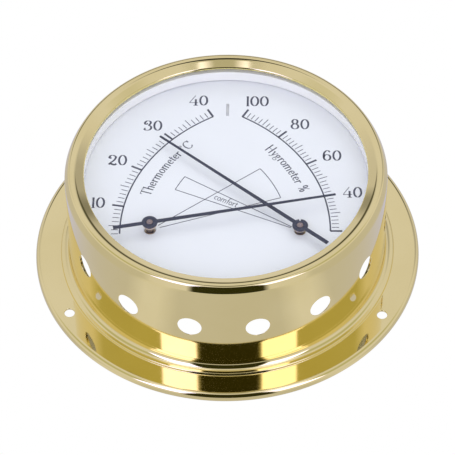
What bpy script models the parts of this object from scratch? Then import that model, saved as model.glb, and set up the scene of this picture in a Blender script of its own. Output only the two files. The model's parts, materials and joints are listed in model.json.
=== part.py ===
"""Dial hygrometer: a ship's-style brass case with a hygrometer and a thermometer behind one dial.

The instrument lies on its back: +Z runs out through the dial, +Y is 12 o'clock, and the origin is the
middle of the mounting face. Lengths in this file are in millimetres and are turned into metres when a
mesh is made.
"""

import math

import bmesh
import bpy
from mathutils import Matrix

MM = 0.001
GAP = 0.3

# Case, turned about the Z axis.
FLANGE_R = 60.0
FLANGE_TOP = 2.0
RIM_CREST_R = 58.5
RIM_CREST_Z = 2.35
BODY_R = 49.3
BORE_R = 48.1
BEAD_CREST_R = 51.4
BEAD_CREST_Z = 5.0
BEAD_FOOT_R = 53.2
LAND_Z = 40.2
LAND_R = (46.4, 47.4)
SHOULDER_Z = 36.8
LIP_R = 43.8
LIP_UNDER_Z = 38.35
LIP_EDGE_Z = 38.75
RIM_EDGE_Z = (0.3, 1.0)
CASE_STEPS = 72

# Holes in the case.
VENT_COUNT = 15
VENT_R = 3.7
VENT_Z = 22.2
FIXING_COUNT = 3
FIXING_R = 1.6
FIXING_PITCH_R = 55.1
HOLE_SIDES = 20

# A cutter runs this far past what it cuts.
PAST = 1.0
VENT_CUT = 8.0

# What is stacked under the lip, from the glass down to the ring that holds the dial.
STACK_R = BORE_R - GAP
GLASS_Z = (36.85, LIP_UNDER_Z - GAP)
DIAL_TOP = 32.7
DIAL_THICK = 0.8
DIAL_REAR = DIAL_TOP - DIAL_THICK
SPACER_BORE_R = 43.6
RING_SECTION = 1.6
RING_SPLIT = 5.0
STACK_STEPS = 64

# The two movements, one behind each pivot.
PIVOT_X = 22.67
PIVOT_Y = -19.17
SPINDLE_R = 0.95
RUNNING_BORE_R = SPINDLE_R + GAP
SPINDLE_FOOT = 14.2
PLATE_Z = (16.0, 17.0)
SHANK_R = 1.5
SHANK_HOLE_R = SHANK_R + GAP
SHANK_SUNK = 0.15
COLLAR_R = 2.8
COLLAR_HEIGHT = (2.0, 1.8)
BRIDGE_WIDTH = 8.0
SHEET = 1.0
LEG_X = 9.8
FOOT_X = 16.6
STUD_X = 13.8
STUD_R = 1.2
STUD_FOOT = 27.9
STUD_SIDES = 16
NUT_ACROSS = 5.0
NUT_HEIGHT = 1.9
COIL_Z = (20.3, 24.7)
COIL_R = (2.7, 8.0)
COIL_TURNS = 4
COIL_THICK = 0.35
COIL_STEPS = 20
COLLET_R = 2.2
COLLET_PAST = 0.4
LEVER_Z = (17.6, 18.5)
LEVER_REACH = 11.0
LEVER_HALF = 1.6
LEVER_EYE_R = 3.4
POST_Y = -9.15
POST_R = 0.6
POST_SIDES = 12
ROUND_STEPS = 24
EYE_STEPS = 18

# Pointers.
EYE_R = 2.4
HUB_R = 2.3
HUB_FOOT = DIAL_TOP + 0.9
BLADE_THICK = 0.3
BLADE_HALF = (0.55, 0.28)
TAIL_HALF = 0.5
SPINDLE_PROUD = 0.15

# name: side of the dial, pointer angle from +X in degrees, blade height, blade length, tail length
MOVEMENTS = {
    "thermo": (1, 140.0, DIAL_TOP + 2.35, 56.7, 10.8),
    "hygro": (-1, 11.8, DIAL_TOP + 3.4, 57.3, 11.2),
}

# Edges that turn more than this stay sharp.
SHARP_DEGREES = 32

# Principled materials: colour, metallic, roughness.
MATERIALS = {
    "polished_brass": ((0.79, 0.66, 0.36), 1.0, 0.06),
    "machined_brass": ((0.72, 0.56, 0.30), 1.0, 0.25),
    "copper_alloy": ((0.66, 0.45, 0.33), 1.0, 0.25),
    "bright_steel": ((0.62, 0.62, 0.62), 1.0, 0.28),
    "black_steel": ((0.05, 0.05, 0.06), 0.6, 0.4),
    "pointer_black": ((0.035, 0.04, 0.05), 0.0, 0.4),
    "bimetal": ((0.52, 0.47, 0.40), 1.0, 0.35),
    "humidity_strip": ((0.72, 0.66, 0.52), 0.2, 0.55),
    "dial_white": ((0.86, 0.87, 0.90), 0.0, 0.3),
    "spacer_white": ((0.82, 0.82, 0.82), 0.0, 0.5),
    "clear_glass": ((0.98, 0.99, 0.99), 0.0, 0.02),
}


def clear_scene():
    for obj in list(bpy.data.objects):
        bpy.data.objects.remove(obj, do_unlink=True)


def make_material(name):
    colour, metallic, roughness = MATERIALS[name]
    material = bpy.data.materials.new(name)
    material.use_nodes = True
    shader = material.node_tree.nodes["Principled BSDF"]
    shader.inputs["Base Color"].default_value = (*colour, 1.0)
    shader.inputs["Metallic"].default_value = metallic
    shader.inputs["Roughness"].default_value = roughness
    if name == "clear_glass":
        shader.inputs["Transmission Weight"].default_value = 1.0
    material.diffuse_color = (*colour, 1.0)
    return material


def add_object(name, mesh, material, centre=(0.0, 0.0), parent=None):
    """An object whose mesh is in metres, placed with its origin on the axis through centre."""
    obj = bpy.data.objects.new(name, mesh)
    bpy.context.scene.collection.objects.link(obj)
    obj.location = (centre[0] * MM, centre[1] * MM, 0.0)
    if material:
        mesh.materials.append(bpy.data.materials[material])
        mesh.shade_smooth()
        mesh.set_sharp_from_angle(angle=math.radians(SHARP_DEGREES))
    if parent:
        obj.parent = parent
        obj.matrix_parent_inverse = parent.matrix_world.inverted()
    return obj


def mesh_from(bm, name):
    bmesh.ops.recalc_face_normals(bm, faces=bm.faces)
    bmesh.ops.scale(bm, vec=(MM, MM, MM), verts=bm.verts)
    mesh = bpy.data.meshes.new(name)
    bm.to_mesh(mesh)
    bm.free()
    return mesh


def turned(name, outline, material, steps, centre=(0.0, 0.0), parent=None):
    """A body spun from a closed outline of (radius, height) points that stays off the axis."""
    bm = bmesh.new()
    verts = [bm.verts.new((r, 0.0, z)) for r, z in outline]
    edges = [bm.edges.new(pair) for pair in zip(verts, verts[1:] + verts[:1])]
    bmesh.ops.spin(bm, geom=[*edges, *verts], axis=(0, 0, 1), cent=(0, 0, 0), angle=math.tau,
                   steps=steps, use_merge=True, use_duplicate=False)
    bmesh.ops.remove_doubles(bm, verts=bm.verts, dist=1e-4)
    return add_object(name, mesh_from(bm, name), material, centre, parent)


def swept(name, outline_at, angles, material, centre=(0.0, 0.0), parent=None):
    """A bar bent about the Z axis: outline_at(share) gives its closed (radius, height) section."""
    bm = bmesh.new()
    rings = []
    for i, angle in enumerate(angles):
        outline = outline_at(i / (len(angles) - 1))
        rings.append([bm.verts.new((r * math.cos(angle), r * math.sin(angle), z)) for r, z in outline])
    for first, second in zip(rings, rings[1:]):
        for k in range(len(first)):
            after = (k + 1) % len(first)
            bm.faces.new((first[k], first[after], second[after], second[k]))
    bm.faces.new(rings[0])
    bm.faces.new(reversed(rings[-1]))
    return add_object(name, mesh_from(bm, name), material, centre, parent)


def angles_between(start, end, steps):
    return [start + (end - start) * i / steps for i in range(steps + 1)]


def box_outline(inner, outer, low, high):
    return [(outer, high), (outer, low), (inner, low), (inner, high)]


def disc(bm, radius, low, high, sides, centre=(0.0, 0.0)):
    """Adds a capped cylinder that stands between two heights."""
    middle = Matrix.Translation((centre[0], centre[1], (low + high) / 2))
    bmesh.ops.create_cone(bm, cap_ends=True, segments=sides, radius1=radius, radius2=radius,
                          depth=high - low, matrix=middle)


def solid_disc(name, radius, low, high, material, centre, parent=None, sides=ROUND_STEPS):
    bm = bmesh.new()
    disc(bm, radius, low, high, sides)
    return add_object(name, mesh_from(bm, name), material, centre, parent)


def extruded(outline, along):
    """A bmesh plate made by moving a flat outline of points along a vector."""
    bm = bmesh.new()
    face = bm.faces.new([bm.verts.new(point) for point in outline])
    raised = bmesh.ops.extrude_face_region(bm, geom=[face])["geom"]
    moved = [v for v in raised if isinstance(v, bmesh.types.BMVert)]
    bmesh.ops.translate(bm, vec=along, verts=moved)
    return bm


def prism(name, outline, low, high, material, centre=(0.0, 0.0), parent=None, turn=0.0):
    """A flat plate with the given outline of (x, y) points, turned about its own axis."""
    bm = extruded([(x, y, low) for x, y in outline], (0, 0, high - low))
    bmesh.ops.rotate(bm, matrix=Matrix.Rotation(turn, 3, "Z"), verts=bm.verts)
    return add_object(name, mesh_from(bm, name), material, centre, parent)


def apply_boolean(obj, cutters, operation="DIFFERENCE"):
    """Cuts or joins each helper in turn, and leaves it as a hidden guide."""
    for cutter in cutters:
        modifier = obj.modifiers.new(cutter.name, "BOOLEAN")
        modifier.operation = operation
        modifier.solver = "EXACT"
        modifier.object = cutter
        cutter.hide_render = True
        cutter.display_type = "WIRE"


def arc(centre, radius, start, end, steps):
    """Points on an arc in the (radius, height) plane, angles in degrees from the radial direction."""
    points = []
    for angle in angles_between(math.radians(start), math.radians(end), steps):
        points.append((centre[0] + radius * math.cos(angle), centre[1] + radius * math.sin(angle)))
    return points


def case_outline():
    """The case's section: bezel, drawn body, bead at its foot, flange, and the plain bore inside."""
    land_in, land_out = LAND_R
    shoulder = [
        (land_out, LAND_Z),
        (land_out + 0.5, LAND_Z - 0.12),
        (land_out + 0.85, LAND_Z - 0.42),
        (land_out + 1.2, LAND_Z - 1.0),
        (BODY_R - 0.2, LAND_Z - 1.9),
        (BODY_R, SHOULDER_Z),
    ]
    bead = [
        (BODY_R, BEAD_CREST_Z - 0.3),
        (BODY_R + 0.5, BEAD_CREST_Z - 0.75),
        (BODY_R + 1.1, BEAD_CREST_Z - 0.3),
        (BEAD_CREST_R, BEAD_CREST_Z),
        (BEAD_CREST_R + 0.7, BEAD_CREST_Z - 0.2),
        (BEAD_CREST_R + 1.25, BEAD_CREST_Z - 0.75),
        (BEAD_CREST_R + 1.5, BEAD_CREST_Z - 1.6),
        (BEAD_FOOT_R - 0.2, FLANGE_TOP + 0.35),
        (BEAD_FOOT_R + 0.2, FLANGE_TOP),
    ]
    chamfer, side = RIM_EDGE_Z
    roll = RIM_CREST_Z - side
    rim = [(RIM_CREST_R - 1.0, FLANGE_TOP), *arc((RIM_CREST_R, side), roll, 90, 20, 4)]
    rim += [(FLANGE_R, side), (FLANGE_R, chamfer), (FLANGE_R - chamfer, 0.0)]
    lip = [
        (BORE_R, 0.0),
        (BORE_R, LIP_UNDER_Z),
        (LIP_R + 0.2, LIP_UNDER_Z),
        (LIP_R, LIP_UNDER_Z + 0.2),
        (LIP_R, LIP_EDGE_Z),
        (LIP_R + 0.2, LIP_EDGE_Z + 0.3),
        (land_in - 0.45, LAND_Z - 0.2),
        (land_in, LAND_Z),
    ]
    return shoulder + bead + rim + lip


def make_case():
    case = turned("case", case_outline(), "polished_brass", CASE_STEPS)
    bm = bmesh.new()
    for i in range(VENT_COUNT):
        angle = math.tau * (i + 0.5) / VENT_COUNT - math.pi / 2
        across = Matrix.Rotation(angle, 4, "Z") @ Matrix.Translation((BODY_R, 0, VENT_Z))
        bmesh.ops.create_cone(bm, cap_ends=True, segments=HOLE_SIDES, radius1=VENT_R, radius2=VENT_R,
                              depth=VENT_CUT, matrix=across @ Matrix.Rotation(math.pi / 2, 4, "Y"))
    for i in range(FIXING_COUNT):
        angle = math.tau * i / FIXING_COUNT + math.pi / 2
        place = (FIXING_PITCH_R * math.cos(angle), FIXING_PITCH_R * math.sin(angle))
        disc(bm, FIXING_R, -PAST, FLANGE_TOP + PAST, HOLE_SIDES, place)
    apply_boolean(case, [add_object("case_holes", mesh_from(bm, "case_holes"), None)])


def pivot_of(side):
    return (side * PIVOT_X, PIVOT_Y)


def make_stack():
    """Glass, spacer, dial and the split ring, in the order in which they are dropped in from behind."""
    solid_disc("glass", STACK_R, *GLASS_Z, "clear_glass", (0.0, 0.0), sides=STACK_STEPS)
    turned("spacer_ring", box_outline(SPACER_BORE_R, STACK_R, DIAL_TOP + GAP, GLASS_Z[0] - GAP),
           "spacer_white", STACK_STEPS)
    dial = solid_disc("dial_plate", STACK_R, DIAL_REAR, DIAL_TOP, "dial_white", (0.0, 0.0),
                      sides=STACK_STEPS)
    holes = bmesh.new()
    studs = bmesh.new()
    for side, *_ in MOVEMENTS.values():
        x, y = pivot_of(side)
        disc(holes, SHANK_HOLE_R, DIAL_REAR - PAST, DIAL_TOP + PAST, ROUND_STEPS, (x, y))
        for end in (-1, 1):
            disc(studs, STUD_R, STUD_FOOT, DIAL_REAR + DIAL_THICK / 2, STUD_SIDES, (x + end * STUD_X, y))
    apply_boolean(dial, [add_object("dial_holes", mesh_from(holes, "dial_holes"), None)])
    apply_boolean(dial, [add_object("dial_studs", mesh_from(studs, "dial_studs"), None)], "UNION")
    top = DIAL_REAR - GAP
    section = box_outline(STACK_R - RING_SECTION, STACK_R, top - RING_SECTION, top)
    start = math.pi / 2 + RING_SPLIT / STACK_R / 2
    around = angles_between(start, start + math.tau - RING_SPLIT / STACK_R, STACK_STEPS - 4)
    swept("retaining_ring", lambda share: section, around, "bright_steel")


def make_bridge(prefix, centre):
    """A strip bent into a channel: two feet against the dial, two legs and a bearing plate."""
    top = DIAL_REAR - GAP
    low, high = PLATE_Z
    half = [
        (LEG_X, high),
        (LEG_X, top),
        (FOOT_X, top),
        (FOOT_X, top - SHEET),
        (LEG_X + SHEET, top - SHEET),
        (LEG_X + SHEET, low),
    ]
    outline = half + [(-x, z) for x, z in reversed(half)]
    bm = extruded([(x, -BRIDGE_WIDTH / 2, z) for x, z in outline], (0, BRIDGE_WIDTH, 0))
    bridge = add_object(f"{prefix}_bridge", mesh_from(bm, prefix), "black_steel", centre)
    holes = bmesh.new()
    disc(holes, SHANK_HOLE_R, low - PAST, high + PAST, ROUND_STEPS)
    for end in (-1, 1):
        disc(holes, STUD_R + GAP, top - SHEET - PAST, top + PAST, STUD_SIDES, (end * STUD_X, 0))
    cutter = add_object(f"{prefix}_bridge_holes", mesh_from(holes, "holes"), None, centre)
    apply_boolean(bridge, [cutter])
    nut_top = top - SHEET - GAP
    for end, label in ((-1, "left"), (1, "right")):
        place = (centre[0] + end * STUD_X, centre[1])
        nut = solid_disc(f"{prefix}_nut_{label}", NUT_ACROSS / 2, nut_top - NUT_HEIGHT, nut_top,
                         "machined_brass", place, sides=6)
        bm = bmesh.new()
        disc(bm, STUD_R + GAP, nut_top - NUT_HEIGHT - PAST, nut_top + PAST, STUD_SIDES)
        bore = add_object(f"{prefix}_nut_bore_{label}", mesh_from(bm, "nut_bore"), None, place)
        apply_boolean(nut, [bore])


def bushing_outline(shank_top, collar_top, foot):
    return [
        (SHANK_R, shank_top),
        (SHANK_R, collar_top),
        (COLLAR_R, collar_top),
        (COLLAR_R, foot),
        (RUNNING_BORE_R, foot),
        (RUNNING_BORE_R, shank_top),
    ]


def make_bushings(prefix, centre):
    """Flanged bearings: one under the dial and one in the plate, both bored for the spindle."""
    top = DIAL_REAR - GAP
    under = PLATE_Z[0] - GAP
    front = bushing_outline(DIAL_TOP - SHANK_SUNK, top, top - COLLAR_HEIGHT[0])
    rear = bushing_outline(PLATE_Z[1], under, under - COLLAR_HEIGHT[1])
    turned(f"{prefix}_front_bushing", front, "machined_brass", ROUND_STEPS, centre)
    turned(f"{prefix}_rear_bushing", rear, "machined_brass", ROUND_STEPS, centre)


def make_lever(prefix, centre, parent):
    """The calibration lever: it turns about the spindle and carries the post for the coil's outer end."""
    half = math.asin(LEVER_HALF / LEVER_EYE_R)
    corner = LEVER_EYE_R * math.cos(half)
    outline = [(-LEVER_HALF, -LEVER_REACH), (LEVER_HALF, -LEVER_REACH), (LEVER_HALF, -corner)]
    start = half - math.pi / 2
    for angle in angles_between(start, start + math.tau - 2 * half, EYE_STEPS)[1:]:
        outline.append((LEVER_EYE_R * math.cos(angle), LEVER_EYE_R * math.sin(angle)))
    lever = prism(f"{prefix}_calibration_lever", outline, *LEVER_Z, "machined_brass", centre, parent)
    bore = bmesh.new()
    disc(bore, RUNNING_BORE_R, LEVER_Z[0] - PAST, LEVER_Z[1] + PAST, ROUND_STEPS)
    post = bmesh.new()
    disc(post, POST_R, sum(LEVER_Z) / 2, COIL_Z[1], POST_SIDES, (0, POST_Y))
    apply_boolean(lever, [add_object(f"{prefix}_lever_bore", mesh_from(bore, "bore"), None, centre)])
    helper = add_object(f"{prefix}_lever_post", mesh_from(post, "post"), None, centre)
    apply_boolean(lever, [helper], "UNION")


def make_coil(prefix, centre, material, parent):
    """A flat spiral strip whose outer end lies beside the lever's post."""
    first, last = COIL_R

    def section(share):
        inner = first + (last - first) * share
        return box_outline(inner, inner + COIL_THICK, *COIL_Z)

    end = -math.pi / 2
    around = angles_between(end - math.tau * COIL_TURNS, end, COIL_STEPS * COIL_TURNS)
    swept(f"{prefix}_coil", section, around, material, centre, parent)


def pointer_outline(length, tail):
    """A tapered blade, a round eye and a parallel tail, in one flat outline along +X."""
    near, far = BLADE_HALF
    start = math.asin(near / EYE_R)
    end = math.pi - math.asin(TAIL_HALF / EYE_R)
    upper = [(length, far)]
    for angle in angles_between(start, end, EYE_STEPS // 2):
        upper.append((EYE_R * math.cos(angle), EYE_R * math.sin(angle)))
    upper.append((-tail, TAIL_HALF))
    return upper + [(x, -y) for x, y in reversed(upper)]


def make_pointer(prefix, centre, parent, angle, blade_z, length, tail):
    outline = pointer_outline(length, tail)
    top = blade_z + BLADE_THICK
    pointer = prism(f"{prefix}_pointer", outline, blade_z, top, "pointer_black", centre, parent,
                    math.radians(angle))
    eye = bmesh.new()
    disc(eye, RUNNING_BORE_R, blade_z - PAST, top + PAST, ROUND_STEPS)
    apply_boolean(pointer, [add_object(f"{prefix}_eye_bore", mesh_from(eye, "eye"), None, centre)])
    turned(f"{prefix}_hub", box_outline(RUNNING_BORE_R, HUB_R, HUB_FOOT, blade_z - GAP), "bright_steel",
           ROUND_STEPS, centre, parent)
    solid_disc(f"{prefix}_spindle", SPINDLE_R, SPINDLE_FOOT, top + SPINDLE_PROUD, "copper_alloy",
               centre, parent)
    sleeve = box_outline(RUNNING_BORE_R, COLLET_R, COIL_Z[0] - COLLET_PAST, COIL_Z[1] + COLLET_PAST)
    turned(f"{prefix}_collet", sleeve, "machined_brass", ROUND_STEPS, centre, parent)


def make_movement(prefix):
    side, angle, blade_z, length, tail = MOVEMENTS[prefix]
    centre = pivot_of(side)
    axis = bpy.data.objects.new(f"{prefix}_axis", None)
    bpy.context.scene.collection.objects.link(axis)
    axis.location = (centre[0] * MM, centre[1] * MM, DIAL_TOP * MM)
    bpy.context.view_layer.update()
    make_bridge(prefix, centre)
    make_bushings(prefix, centre)
    make_lever(prefix, centre, axis)
    make_coil(prefix, centre, "bimetal" if prefix == "thermo" else "humidity_strip", axis)
    make_pointer(prefix, centre, axis, angle, blade_z, length, tail)


clear_scene()
for material_name in MATERIALS:
    make_material(material_name)
make_case()
make_stack()
for movement in MOVEMENTS:
    make_movement(movement)
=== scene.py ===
import json
import math

import bmesh
import bpy
from mathutils import Matrix, Vector


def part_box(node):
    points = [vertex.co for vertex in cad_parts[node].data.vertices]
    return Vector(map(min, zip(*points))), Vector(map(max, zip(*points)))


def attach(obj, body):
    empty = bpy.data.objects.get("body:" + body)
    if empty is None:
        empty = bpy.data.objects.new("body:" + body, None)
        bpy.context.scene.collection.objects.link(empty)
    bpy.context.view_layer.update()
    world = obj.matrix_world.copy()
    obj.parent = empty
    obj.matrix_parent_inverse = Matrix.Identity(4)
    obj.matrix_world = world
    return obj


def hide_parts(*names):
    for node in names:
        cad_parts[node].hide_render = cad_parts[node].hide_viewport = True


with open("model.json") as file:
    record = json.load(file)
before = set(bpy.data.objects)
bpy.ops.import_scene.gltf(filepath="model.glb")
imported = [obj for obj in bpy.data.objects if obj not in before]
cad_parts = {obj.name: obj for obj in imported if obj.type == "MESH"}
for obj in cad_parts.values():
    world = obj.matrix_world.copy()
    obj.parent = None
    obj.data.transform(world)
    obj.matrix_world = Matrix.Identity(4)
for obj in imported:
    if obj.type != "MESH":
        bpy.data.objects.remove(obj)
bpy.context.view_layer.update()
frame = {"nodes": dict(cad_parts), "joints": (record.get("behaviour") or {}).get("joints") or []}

# Lengths below are in millimetres, in the CAD frame: +Z out through the dial, +Y at 12 o'clock.
MM = 0.001


def cad_box(node):
    """Lowest and highest corner of a CAD node, in millimetres."""
    low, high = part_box(node)
    return low / MM, high / MM


case_high = cad_box("case")[1]
glass_low, glass_high = cad_box("glass")
spacer_low, spacer_high = cad_box("spacer_ring")
dial_top = cad_box("dial_plate")[1].z

# Where the thermometer's and the hygrometer's pointers turn.
PIVOTS = {
    joint["child"].split("_")[0]: Vector(joint["pos_m"]) / MM
    for joint in frame["joints"]
    if "reading" in joint["name"]
}

# Case. Z is a height above the back, and R a radius from the case's axis.
FLANGE_R = case_high.x
LAND_Z = case_high.z
FLANGE_TOP = 3.6
FLANGE_UNDER = 3.1
DRUM_R = 49.3
BORE_R = 48.1
LIP_UNDER_Z = 38.35
LIP_R = 43.3
CASE_COLUMNS = 360
VENT_COUNT = 15
VENT_R = 3.7
VENT_Z = 22.2
# How much wider a vent is in the bore than on the drum.
VENT_FLARE = 1.5
# The band of grid squares that a vent is cut from: half its height, its rows, and columns to each side.
VENT_HALF = 6.6
VENT_ROWS = 14
VENT_COLUMNS = 8
FIXING_COUNT = 3
FIXING_R = 1.6
FIXING_PITCH_R = 55.5
# The same for a fixing hole, whose band runs between two radii of the flange.
FIXING_BAND = (53.3, 57.6)
FIXING_ROWS = 8
FIXING_COLUMNS = 4
HOLE_FILLET = 0.12
# How far, as shares, the rings between a hole's square band and its rim lie towards the rim.
RING_SHARES = (0.35, 0.7)
RIM_LEANS = (0.0, math.pi / 6, math.pi / 3, math.pi / 2)

# Dial. The radii are about a pointer's pivot.
PRINT_LIFT = 0.004
PRINT_THICK = 0.02
ARC_R = 54.5
ARC_WIDTH = 0.46
TICK_R = (55.0, 57.1)
LONG_TICK_R = (55.1, 58.0)
MAJOR_TICK_R = (54.5, 58.1)
TICK_WIDTH = 0.24
MAJOR_TICK_WIDTH = 0.66
DIGIT_HEIGHT = 4.2
WORD_R = 47.85
WORD_HEIGHT = 3.3
SECTOR_R = 41.6


# -------- mesh helpers


def mesh_object(name, points, faces, normals=None):
    """An object from points in millimetres, with exact normals where they are given."""
    mesh = bpy.data.meshes.new(name)
    mesh.from_pydata([tuple(c * MM for c in p) for p in points], [], faces)
    bm = bmesh.new()
    bm.from_mesh(mesh)
    bmesh.ops.recalc_face_normals(bm, faces=bm.faces)
    bm.to_mesh(mesh)
    bm.free()
    mesh.shade_smooth()
    if normals is not None:
        mesh.normals_split_custom_set_from_vertices([tuple(n) for n in normals])
    obj = bpy.data.objects.new(name, mesh)
    bpy.context.scene.collection.objects.link(obj)
    return obj


def rounded_outline(corners):
    """A closed outline of (radius, height) corners, each rounded by its own fillet.

    It gives (radius, height, normal along the radius, normal along the height) points. The solid lies
    to the right of the way the corners run.
    """
    points = []
    count = len(corners)
    for i, (r, z, fillet) in enumerate(corners):
        here = Vector((r, z))
        before = (here - Vector(corners[i - 1][:2])).normalized()
        after = (Vector(corners[(i + 1) % count][:2]) - here).normalized()
        turn = math.atan2(before.cross(after), before.dot(after))
        start = Vector((-before.y, before.x))
        if abs(turn) < 1e-4 or fillet == 0.0:
            points.append((r, z, start.x, start.y))
            continue
        side = -math.copysign(1.0, turn)
        tangent = here - before * fillet * math.tan(abs(turn) / 2)
        centre = tangent - start * fillet * side
        steps = max(3, math.ceil(abs(turn) / math.radians(7)))
        for k in range(steps + 1):
            normal = Matrix.Rotation(turn * k / steps, 2) @ start
            point = centre + normal * fillet * side
            points.append((point.x, point.y, normal.x, normal.y))
    return points


def lathe_arrays(outline, columns, centre=(0.0, 0.0), closed=True):
    """Points, normals and faces of an outline turned about the vertical axis through centre."""
    points = []
    normals = []
    for r, z, nr, nz in outline:
        for i in range(columns):
            angle = math.tau * i / columns
            c, s = math.cos(angle), math.sin(angle)
            points.append((centre[0] + r * c, centre[1] + r * s, z))
            normals.append((nr * c, nr * s, nz))
    faces = {}
    rows = len(outline) if closed else len(outline) - 1
    for k in range(rows):
        for i in range(columns):
            j = (i + 1) % columns
            up = (k + 1) % len(outline)
            faces[k, i] = (k * columns + i, k * columns + j, up * columns + j, up * columns + i)
    return points, normals, faces


def lathe(name, corners, columns, centre=(0.0, 0.0)):
    """A ring with the outline that the corners give."""
    points, normals, faces = lathe_arrays(rounded_outline(corners), columns, centre)
    return mesh_object(name, points, list(faces.values()), normals)


def solid_of_revolution(name, outline, columns, centre=(0.0, 0.0)):
    """Like lathe, for an open outline whose two ends lie next to the axis and are closed with flat faces."""
    outline = [(*outline[0][:2], 0.0, 1.0), *outline[1:-1], (*outline[-1][:2], 0.0, -1.0)]
    points, normals, faces = lathe_arrays(outline, columns, centre, closed=False)
    last = (len(outline) - 1) * columns
    ends = [tuple(range(columns)), tuple(reversed(range(last, last + columns)))]
    return mesh_object(name, points, [*faces.values(), *ends], normals)


# -------- case


def case_corners():
    """Bezel, drum, step at its foot, flange, rolled rim, bore and lip, as (radius, height, fillet)."""
    vent_rows = [
        (DRUM_R, VENT_Z + VENT_HALF * (1 - 2 * k / VENT_ROWS), 0.0) for k in range(VENT_ROWS + 1)
    ]
    inner, outer = FIXING_BAND
    span = outer - inner
    flange_rows = [
        (inner + span * k / FIXING_ROWS, FLANGE_TOP, 0.0) for k in range(FIXING_ROWS + 1)
    ]
    under_rows = [(r, FLANGE_UNDER, 0.0) for r, _, _ in reversed(flange_rows)]
    bore_rows = [(BORE_R, z, 0.0) for _, z, _ in reversed(vent_rows)]
    return [
        (48.05, LAND_Z, 1.15),
        (49.3, 37.7, 3.0),
        *vent_rows,
        (DRUM_R, 4.5, 2.0),
        (51.9, 4.3, 0.3),
        (52.1, FLANGE_TOP, 0.2),
        *flange_rows,
        (FLANGE_R, FLANGE_TOP, 1.7),
        (FLANGE_R, 1.3, 0.8),
        (59.0, 0.0, 0.3),
        (58.2, 0.0, 0.2),
        (58.2, FLANGE_UNDER, 0.3),
        *under_rows,
        (DRUM_R, FLANGE_UNDER, 0.3),
        (DRUM_R, 0.0, 0.2),
        (BORE_R, 0.0, 0.2),
        *bore_rows,
        (BORE_R, LIP_UNDER_Z, 0.15),
        (LIP_R, LIP_UNDER_Z, 0.12),
        (LIP_R, 38.95, 0.5),
        (46.2, LAND_Z, 3.2),
    ]


class HoledBand:
    """One grid of a lathe that gets round holes: where its rows start, and how a point lies on it."""

    def __init__(self, outline, first, last, place, normal):
        self.first = self.row_of(outline, first)
        self.last = self.row_of(outline, last)
        self.place = place
        self.normal = normal

    @staticmethod
    def row_of(outline, corner):
        """The outline's point nearest to the corner."""
        gaps = [math.hypot(p[0] - corner[0], p[1] - corner[1]) for p in outline]
        return gaps.index(min(gaps))


def cut_holes(points, normals, faces, bands, centres, half_columns, radii, step_out):
    """Replaces grid squares round each centre with rings that run into a round hole.

    bands and radii are those of the outer and the inner surface. step_out(point, centre) turns a
    grid point into (across, along) from the hole's centre.
    """
    for centre in centres:
        middle = round(centre / math.tau * CASE_COLUMNS)
        cols = [(middle + k) % CASE_COLUMNS for k in range(-half_columns, half_columns + 1)]
        last = bands[0].last - bands[0].first
        edge = [(0, i) for i in cols[:-1]] + [(k, cols[-1]) for k in range(last)]
        edge += [(last, i) for i in reversed(cols[1:])] + [(k, cols[0]) for k in range(last, 0, -1)]
        turns = None
        rims = []
        for band, radius in zip(bands, radii):
            for k in range(band.first, band.last):
                for i in cols[:-1]:
                    del faces[k, i]
            rows = [band.first + k if band is bands[0] else band.last - k for k, _ in edge]
            loop = [k * CASE_COLUMNS + i for k, (_, i) in zip(rows, edge)]
            local = [step_out(points[v], centre) for v in loop]
            turns = turns or [math.atan2(along, across) for across, along in local]
            rings = [loop]
            wide = radius + HOLE_FILLET
            for share in RING_SHARES:
                ring = []
                for (across, along), turn in zip(local, turns):
                    a = across * (1 - share) + wide * math.cos(turn) * share
                    b = along * (1 - share) + wide * math.sin(turn) * share
                    ring.append(add_point(points, normals, band, centre, a, b, 0.0, 0.0, turn))
                rings.append(ring)
            for lean in RIM_LEANS:
                reach = radius + HOLE_FILLET * (1 - math.sin(lean))
                depth = HOLE_FILLET * (1 - math.cos(lean))
                ring = []
                for turn in turns:
                    a = reach * math.cos(turn)
                    b = reach * math.sin(turn)
                    ring.append(add_point(points, normals, band, centre, a, b, depth, lean, turn))
                rings.append(ring)
            rims.append(rings[-1])
            for near, far in zip(rings, rings[1:]):
                join_rings(faces, near, far)
        join_rings(faces, *rims)


def join_rings(faces, near, far):
    """Fills the gap between two rings of the same number of points."""
    for k in range(len(near)):
        j = (k + 1) % len(near)
        face = (near[k], near[j], far[j], far[k])
        faces[face] = face


def add_point(points, normals, band, centre, across, along, depth, lean, turn):
    """Adds a point of a hole's rim and gives its number."""
    points.append(band.place(centre, across, along, depth))
    flat = Vector(band.normal(centre, across, along))
    inward = -Vector(band.place(centre, math.cos(turn), math.sin(turn), 0.0))
    inward += Vector(band.place(centre, 0.0, 0.0, 0.0))
    inward = (inward - flat * inward.dot(flat)).normalized()
    normals.append(tuple(flat * math.cos(lean) + inward * math.sin(lean)))
    return len(points) - 1


def on_drum(radius, side):
    """Where a point near a vent lies on a drum surface; side is 1 outside and -1 in the bore."""

    def place(centre, across, along, depth):
        r = radius - side * depth
        out = math.sqrt(r * r - across * across)
        c, s = math.cos(centre), math.sin(centre)
        return (out * c - across * s, out * s + across * c, VENT_Z + along)

    def normal(centre, across, along):
        angle = centre + math.asin(across / radius)
        return (side * math.cos(angle), side * math.sin(angle), 0.0)

    return place, normal


def on_flange(height, side):
    """The same for a point near a fixing hole on the flange; side is 1 on top and -1 underneath."""

    def place(centre, across, along, depth):
        c, s = math.cos(centre), math.sin(centre)
        out = FIXING_PITCH_R + along
        return (out * c - across * s, out * s + across * c, height - side * depth)

    def normal(centre, across, along):
        return (0.0, 0.0, side)

    return place, normal


def from_vent(point, centre):
    """How far a point of the drum lies across and along from a vent's middle."""
    return (-point[0] * math.sin(centre) + point[1] * math.cos(centre), point[2] - VENT_Z)


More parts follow.
